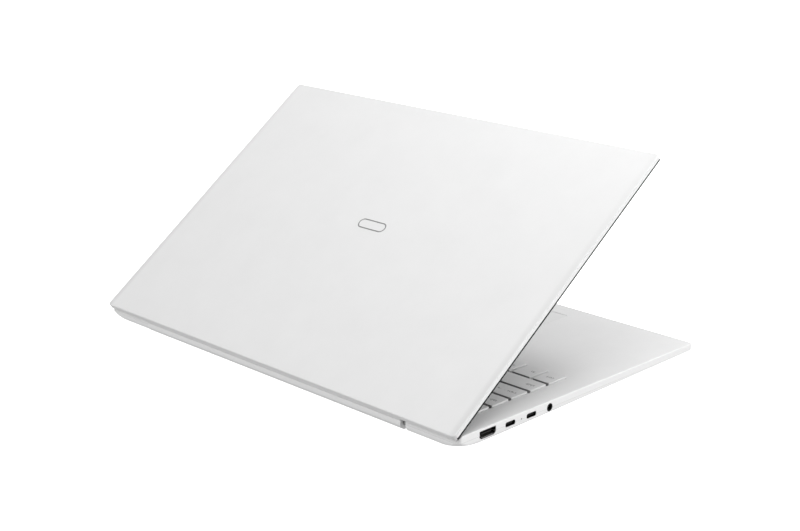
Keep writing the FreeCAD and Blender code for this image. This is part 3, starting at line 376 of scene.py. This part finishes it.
def all_materials():
    """The finish of every material slot of the record."""
    return {
        "white_shell": lid_paint(),
        "key_white": keycap_plastic(),
        "bezel_black": speckled(
            "bezel_black", grey(0.004), grey(0.007), 10 * MM, (0.6, 0.7), 0.006 * MM, 0.25 * MM,
            Specular_IOR_Level=0.12),
        "screen_black": screen_glass(),
        "gasket_black": rubber("gasket_rubber", grey(0.010), grey(0.016)),
        "foot_rubber": rubber("foot_rubber", grey(0.46), grey(0.52)),
        "hinge_steel": brushed("hinge_steel", grey(0.42), grey(0.60), (0.28, 0.42), DRAWN_ALONG_X),
        "screw_steel": brushed("screw_steel", grey(0.45), grey(0.62), (0.25, 0.38), (1, 1, 1), 0.2 * MM),
        # Socket metal made nearly black: painted shade inside the sockets, not the nickel's own colour.
        "port_metal": brushed(
            "shaded_socket_metal", grey(0.010), grey(0.018), (0.34, 0.46), DRAWN_ALONG_X, 0.15 * MM),
        "jack_black": speckled(
            "jack_black", grey(0.003), grey(0.006), 3 * MM, (0.5, 0.6), 0.003 * MM, 0.15 * MM,
            Specular_IOR_Level=0.08),
        "touchpad_white": touchpad_glass(),
        "board_green": circuit_board(),
        "chip_black": speckled(
            "chip_black", grey(0.014), grey(0.022), 4 * MM, (0.5, 0.62), 0.006 * MM, 0.12 * MM),
        "pipe_copper": brushed(
            "pipe_copper", (0.50, 0.22, 0.12, 1), (0.66, 0.34, 0.20, 1), (0.25, 0.4), DRAWN_ALONG_X),
        "fin_aluminium": brushed("fin_aluminium", grey(0.58), grey(0.72), (0.32, 0.45), DRAWN_ALONG_X),
        "battery_wrap": battery_film(),
        "lens_glass": speckled(
            "lens_glass", (0.004, 0.004, 0.007, 1), (0.007, 0.007, 0.012, 1), 1 * MM, (0.03, 0.06),
            0.0005 * MM, 0.3 * MM, Coat_Weight=1.0, Coat_Roughness=0.03),
        "light_pipe": speckled(
            "light_pipe", grey(0.30), grey(0.36), 0.5 * MM, (0.2, 0.3), 0.001 * MM, 0.1 * MM),
        "emblem_grey": brushed("emblem_grey", grey(0.30), grey(0.42), (0.35, 0.45), DRAWN_ALONG_X, 0.1 * MM),
        "fan_black": speckled(
            "fan_black", grey(0.012), grey(0.02), 6 * MM, (0.42, 0.55), 0.008 * MM, 0.2 * MM),
        "dome_rubber": rubber("dome_silicone", grey(0.55), grey(0.62)),
        "aerial_brass": brushed(
            "aerial_brass", (0.50, 0.36, 0.16, 1), (0.68, 0.52, 0.26, 1), (0.25, 0.35), DRAWN_ALONG_X),
    }


MATERIALS = all_materials()
BASE_PAINT = base_paint()
PRINT_GREY = speckled("legend_ink", grey(0.20), grey(0.26), 3 * MM, (0.5, 0.6), 0.002 * MM, 0.2 * MM)
CONTACT_GOLD = brushed(
    "contact_gold", (0.62, 0.42, 0.14, 1), (0.80, 0.58, 0.24, 1), (0.2, 0.3), DRAWN_ALONG_X)
SLEEVE_STEEL = brushed("sleeve_steel", grey(0.50), grey(0.66), (0.3, 0.42), DRAWN_ALONG_X, 0.15 * MM)


def finish_cad_nodes():
    """Give every CAD node the finish of its slot, and the base's two shells their shared paint."""
    for subpart in frame["record"]["subparts"]:
        node = nodes[subpart["node"]]
        node.data.materials.clear()
        finish = MATERIALS[subpart["material_slot"]]
        node.data.materials.append(BASE_PAINT if subpart["node"] in ("top_case", "bottom_cover") else finish)


finish_cad_nodes()


# ---------------------------------------------------------------- mesh helpers
def make_object(name, mesh, material, body, smooth=True):
    """Link a mesh as a piece that rides on a body and takes the given finish."""
    piece = bpy.data.objects.new(name, mesh)
    bpy.context.scene.collection.objects.link(piece)
    mesh.materials.append(material)
    if smooth:
        mesh.shade_smooth()
    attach(piece, body)
    return piece


def finished_mesh(name, mesh):
    """A new mesh from an edit mesh, which is freed."""
    data = bpy.data.meshes.new(name)
    mesh.to_mesh(data)
    mesh.free()
    return data


def islands(node):
    """The lowest and highest corner of each separate solid of a CAD node."""
    mesh = nodes[node].data
    welded = {}
    parent = []
    index_of = []
    for vertex in mesh.vertices:
        key = tuple(round(value * WELD_GRID) for value in vertex.co)
        if key not in welded:
            welded[key] = len(parent)
            parent.append(len(parent))
        index_of.append(welded[key])

    def root(index):
        """The corner that stands for all the corners joined to one."""
        while parent[index] != index:
            parent[index] = parent[parent[index]]
            index = parent[index]
        return index

    for edge in mesh.edges:
        first, second = (root(index_of[vertex]) for vertex in edge.vertices)
        parent[first] = second
    boxes = {}
    for vertex in mesh.vertices:
        key = root(index_of[vertex.index])
        low, high = boxes.setdefault(key, (vertex.co.copy(), vertex.co.copy()))
        for axis in range(3):
            low[axis] = min(low[axis], vertex.co[axis])
            high[axis] = max(high[axis], vertex.co[axis])
    return list(boxes.values())


def key_loop(low, high, inset, z):
    """Points of a keycap's round-cornered outline at a height, counter-clockwise."""
    left, front = low.x + inset, low.y + inset
    right, rear = high.x - inset, high.y - inset
    radius = max(KEY_CORNER_R - inset, KEY_LEAST_R)
    points = []
    corners = ((right, rear, 1, 1), (left, rear, -1, 1), (left, front, -1, -1), (right, front, 1, -1))
    for index, (x, y, side_x, side_y) in enumerate(corners):
        centre_x, centre_y = x - side_x * radius, y - side_y * radius
        for step in range(KEY_CORNER_STEPS + 1):
            angle = (index + step / KEY_CORNER_STEPS) * math.pi / 2
            out_x, out_y = radius * math.cos(angle), radius * math.sin(angle)
            points.append(Vector((centre_x + out_x, centre_y + out_y, z)))
    return points


def add_loops(mesh, loops):
    """Skin a row of point loops with quads, and close the ends."""
    rings = [[mesh.verts.new(point) for point in loop] for loop in loops]
    for lower, upper in zip(rings, rings[1:]):
        count = len(lower)
        for index in range(count):
            after = (index + 1) % count
            mesh.faces.new((lower[index], lower[after], upper[after], upper[index]))
    mesh.faces.new(list(reversed(rings[0])))
    mesh.faces.new(rings[-1])


# ---------------------------------------------------------------- keys
def dish(u, v):
    """How far a keycap's top lies below its rim, for places from -1 to 1 across it."""
    return KEY_DISH * (1 - u * u) * (1 - KEY_DISH_FALL * v * v)


def add_keycap(mesh, low, high):
    """One hollow keycap with drafted sides, a soft rim and a shallow dish."""
    half_x, half_y = (high.x - low.x) / 2, (high.y - low.y) / 2
    centre = (low + high) / 2
    loops = [
        key_loop(low, high, KEY_WALL, high.z - KEY_TOP_THICKNESS),
        key_loop(low, high, KEY_WALL, low.z),
        key_loop(low, high, 0, low.z),
    ]
    for step in range(KEY_EDGE_STEPS + 1):
        angle = step / KEY_EDGE_STEPS * math.pi / 2
        inset = KEY_DRAFT + KEY_EDGE_R * (1 - math.cos(angle))
        loops.append(key_loop(low, high, inset, high.z - KEY_EDGE_R * (1 - math.sin(angle))))
    rim = KEY_DRAFT + KEY_EDGE_R
    reach = min(half_x, half_y) - rim
    for share in KEY_TOP_RINGS:
        loop = key_loop(low, high, rim + reach * share, high.z)
        for point in loop:
            u = (point.x - centre.x) / (half_x - rim)
            v = (point.y - centre.y) / (half_y - rim)
            point.z -= dish(u, v)
        loops.append(loop)
    add_loops(mesh, loops)


def soft_bar(mesh, low, high, bevel):
    """A closed bar with bevelled edges between two corners."""
    middle = (low + high) / 2
    size = high - low
    made = bmesh.ops.create_cube(mesh, size=1.0)["verts"]
    for vertex in made:
        vertex.co = middle + Vector(a * b for a, b in zip(vertex.co, size))
    edges = list(dict.fromkeys(edge for vertex in made for edge in vertex.link_edges))
    bmesh.ops.bevel(mesh, geom=edges, offset=bevel, segments=2, profile=0.7, affect="EDGES")


def key_rows(boxes):
    """Boxes sorted into reading order: rows from the rear, each from left to right."""
    return sorted(boxes, key=lambda box: (-round((box[0].y + box[1].y) / 2 / KEY_ROW_BAND), box[0].x))


LEGENDS = {
    "key_escape": ["esc"],
    "keys_function_row": ["F%d" % n for n in range(1, 13)] + ["prt", "del", "home", "end", "pg"],
    "keys_numbers": list("`1234567890-="),
    "key_backspace": ["backspace"],
    "key_tab": ["tab"],
    "keys_upper_letters": list("QWERTYUIOP[]\\"),
    "key_caps": ["caps lock"],
    "keys_home_letters": list("ASDFGHJKL;'"),
    "key_enter": ["enter"],
    "key_shift_left": ["shift"],
    "keys_lower_letters": list("ZXCVBNM,./"),
    "key_shift_right": ["shift"],
    "key_control_left": ["ctrl"],
    "key_function": ["fn"],
    "key_system": ["sys"],
    "key_alternate_left": ["alt"],
    "key_space": [""],
    "keys_lower_right": ["alt", "ctrl", "←", "↑", "↓", "→"],
    "keys_numpad": ["num"] + list("/*-789+456123") + ["enter", "0", "."],
    "power_button": [""],
}


def text_mesh(text, size):
    """A thin closed mesh of a word, starting at the origin."""
    curve = bpy.data.curves.new("word", "FONT")
    curve.body = text
    curve.size = size
    curve.extrude = LEGEND_THICKNESS
    curve.resolution_u = 3
    curve.align_y = "CENTER"
    holder = bpy.data.objects.new("word", curve)
    bpy.context.scene.collection.objects.link(holder)
    bpy.context.view_layer.update()
    mesh = bpy.data.meshes.new_from_object(holder.evaluated_get(bpy.context.evaluated_depsgraph_get()))
    bpy.data.objects.remove(holder)
    bpy.data.curves.remove(curve)
    return mesh


def add_homing_bar(mesh, low, high):
    """The small raised bar near the front of a home key."""
    middle = (low + high) / 2
    middle.y -= (high.y - low.y) / 2 * HOMING_FORWARD
    reach = Vector((HOMING_HALF_LENGTH, HOMING_HALF_WIDTH, 0))
    start, end = middle - reach, middle + reach
    start.z, end.z = high.z - HOMING_DEPTH, high.z
    soft_bar(mesh, start, end, HOMING_EDGE)


def make_caps(node, boxes):
    """The keycaps of one key node, in place of its CAD caps."""
    mesh = bmesh.new()
    for low, high in boxes:
        add_keycap(mesh, low, high)
    bmesh.ops.recalc_face_normals(mesh, faces=mesh.faces)
    # The bars come last: recalculating their normals puts their faces in a different order on each run.
    for (low, high), word in zip(boxes, LEGENDS[node]):
        if word in HOMING_KEYS:
            add_homing_bar(mesh, low, high)
    data = finished_mesh("caps_" + node, mesh)
    caps = make_object("caps_" + node, data, MATERIALS["key_white"], node)
    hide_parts(node)


def laid_word(word, low, high):
    """The mesh of a key's word, lying on its dished top."""
    letters = text_mesh(word, LEGEND_SIZE if len(word) > 1 else SINGLE_LETTER_SIZE)
    start = Vector((low.x + LEGEND_MARGIN, (low.y + high.y) / 2, 0))
    centre = (low + high) / 2
    half_x, half_y = (high.x - low.x) / 2, (high.y - low.y) / 2
    for vertex in letters.vertices:
        vertex.co += start
        u = (vertex.co.x - centre.x) / half_x
        v = (vertex.co.y - centre.y) / half_y
        vertex.co.z += high.z - dish(u, v) + 0.5 * LEGEND_THICKNESS
    return letters


def make_legends(node, boxes):
    """The printed words of one key node, where it has any."""
    if not any(LEGENDS[node]):
        return
    words = bmesh.new()
    for (low, high), word in zip(boxes, LEGENDS[node]):
        letters = laid_word(word, low, high)
        words.from_mesh(letters)
        bpy.data.meshes.remove(letters)
    data = finished_mesh("legends_" + node, words)
    make_object("legends_" + node, data, PRINT_GREY, node, smooth=False)


for key_node in LEGENDS:
    key_boxes = key_rows(islands(key_node))
    make_caps(key_node, key_boxes)
    make_legends(key_node, key_boxes)


# ---------------------------------------------------------------- sockets
def make_contacts(name, side):
    """Gold spring contacts on the tongues of one side's sockets, as one piece."""
    mesh = bmesh.new()
    for row_side, socket_y, face_z, face_side, count, pitch, half_width, first, last in CONTACT_ROWS:
        if row_side != side:
            continue
        ends_x = sorted(side * (PORT_FACE_X - depth * MM) for depth in (first, last))
        face = PORT_Z + face_z * MM
        ends_z = sorted((face - face_side * CONTACT_EDGE, face + face_side * CONTACT_THICKNESS))
        for index in range(count):
            y = (socket_y + (index - (count - 1) / 2) * pitch) * MM
            low = Vector((ends_x[0], y - half_width * MM, ends_z[0]))
            high = Vector((ends_x[1], y + half_width * MM, ends_z[1]))
            soft_bar(mesh, low, high, CONTACT_EDGE / 2)
    make_object(name, finished_mesh(name, mesh), CONTACT_GOLD, "base", smooth=False)


def make_sleeve():
    """The bent steel spring plate that lines the lower half of the video socket."""
    inner = []
    for y, z in SLEEVE_PATH:
        rise = SLEEVE_THICKNESS if z == SLEEVE_FLOOR else 0.0
        inner.append((y - math.copysign(SLEEVE_THICKNESS, y), z + rise))
    outline = list(SLEEVE_PATH) + inner[::-1]
    loops = []
    for depth in SLEEVE_DEPTHS:
        x = -PORT_FACE_X + depth * MM
        loops.append([Vector((x, VIDEO_Y + y * MM, PORT_Z + z * MM)) for y, z in outline])
    mesh = bmesh.new()
    add_loops(mesh, loops)
    bmesh.ops.recalc_face_normals(mesh, faces=mesh.faces)
    data = finished_mesh("video_sleeve", mesh)
    make_object("video_sleeve", data, SLEEVE_STEEL, "base", smooth=False)


make_contacts("contacts_left", -1)
make_contacts("contacts_right", 1)
make_sleeve()


# ---------------------------------------------------------------- stage, light and camera
def floor_material():
    """A plain white floor that glows enough to show no shadow."""
    shader = Shader("floor_white", Roughness=0.9, Emission_Color=grey(1.0), Emission_Strength=FLOOR_GLOW)
    patches = shader.noise(1.5, 2.0)
    shader.colour(shader.ramp(patches, 0.3, 0.7, ((0.0, grey(0.93)), (1.0, grey(0.95)))))
    return shader.material


def make_floor():
    """A wide pale floor that the object neither mirrors nor takes light from."""
    mesh = bpy.data.meshes.new("floor")
    half = FLOOR_HALF_WIDTH
    corners = [(-half, -half, 0), (half, -half, 0), (half, half, 0), (-half, half, 0)]
    mesh.from_pydata(corners, [], [(0, 1, 2, 3)])
    mesh.materials.append(floor_material())
    floor = bpy.data.objects.new("floor", mesh)
    floor.location.z = -FLOOR_DROP
    floor.visible_diffuse = False
    floor.visible_glossy = False
    floor.visible_shadow = False
    bpy.context.scene.collection.objects.link(floor)


def card_light(tree, direction, card):
    """The light of one soft card in each direction of the sky."""
    place, narrowness, brightness = card
    facing = tree.nodes.new("ShaderNodeVectorMath")
    facing.operation = "DOT_PRODUCT"
    facing.inputs[1].default_value = Vector(place).normalized()
    tree.links.new(direction, facing.inputs[0])
    value = facing.outputs["Value"]
    for operation, number in (("MAXIMUM", 0.0), ("POWER", narrowness), ("MULTIPLY", brightness)):
        step = tree.nodes.new("ShaderNodeMath")
        step.operation = operation
        step.inputs[1].default_value = number
        tree.links.new(value, step.inputs[0])
        value = step.outputs[0]
    return value


def make_world():
    """Soft white light all round, brighter where the cards stand, behind a plain white backdrop."""
    world = bpy.data.worlds.new("studio")
    world.use_nodes = True
    tree = world.node_tree
    direction = tree.nodes.new("ShaderNodeTexCoord").outputs["Generated"]
    total = card_light(tree, direction, STUDIO_CARDS[0])
    for card in STUDIO_CARDS[1:]:
        added = tree.nodes.new("ShaderNodeMath")
        tree.links.new(total, added.inputs[0])
        tree.links.new(card_light(tree, direction, card), added.inputs[1])
        total = added.outputs[0]
    seen = tree.nodes.new("ShaderNodeLightPath").outputs["Is Camera Ray"]
    backdrop = tree.nodes.new("ShaderNodeMix")
    backdrop.data_type = "FLOAT"
    tree.links.new(seen, backdrop.inputs[0])
    tree.links.new(total, backdrop.inputs[2])
    backdrop.inputs[3].default_value = BACKDROP_WHITE
    tree.links.new(backdrop.outputs[0], tree.nodes["Background"].inputs["Color"])
    bpy.context.scene.world = world


def area_light(name, place, width, watts):
    """A square lamp aimed at the object."""
    data = bpy.data.lights.new(name, "AREA")
    data.shape = "SQUARE"
    data.size = width
    data.energy = watts
    light = bpy.data.objects.new(name, data)
    bpy.context.scene.collection.objects.link(light)
    light.location = place
    direction = Vector(LAMP_TARGET) - Vector(place)
    light.rotation_euler = direction.to_track_quat("-Z", "Y").to_euler()


def make_camera():
    """The camera, from its place, lens and turn; yaw is the heading from +y towards +x, pitch is downward."""
    data = bpy.data.cameras.new("camera")
    data.sensor_width = CAMERA_SENSOR
    data.lens = CAMERA_LENS
    data.clip_start = 0.01
    camera = bpy.data.objects.new("camera", data)
    bpy.context.scene.collection.objects.link(camera)
    yaw, pitch, roll = (math.radians(angle) for angle in (CAMERA_YAW, CAMERA_PITCH, CAMERA_ROLL))
    forward = Vector((math.cos(pitch) * math.sin(yaw), math.cos(pitch) * math.cos(yaw), -math.sin(pitch)))
    level = forward.cross(Vector((0, 0, 1))).normalized()
    above = level.cross(forward)
    right = level * math.cos(roll) + above * math.sin(roll)
    up = above * math.cos(roll) - level * math.sin(roll)
    turn = Matrix((right, up, -forward)).transposed().to_4x4()
    camera.matrix_world = Matrix.Translation(CAMERA_PLACE) @ turn
    bpy.context.scene.camera = camera


make_floor()
make_world()
for lamp in LAMPS:
    area_light(*lamp)
make_camera()
scene = bpy.context.scene
scene.view_settings.view_transform = "Standard"
scene.view_settings.look = "None"
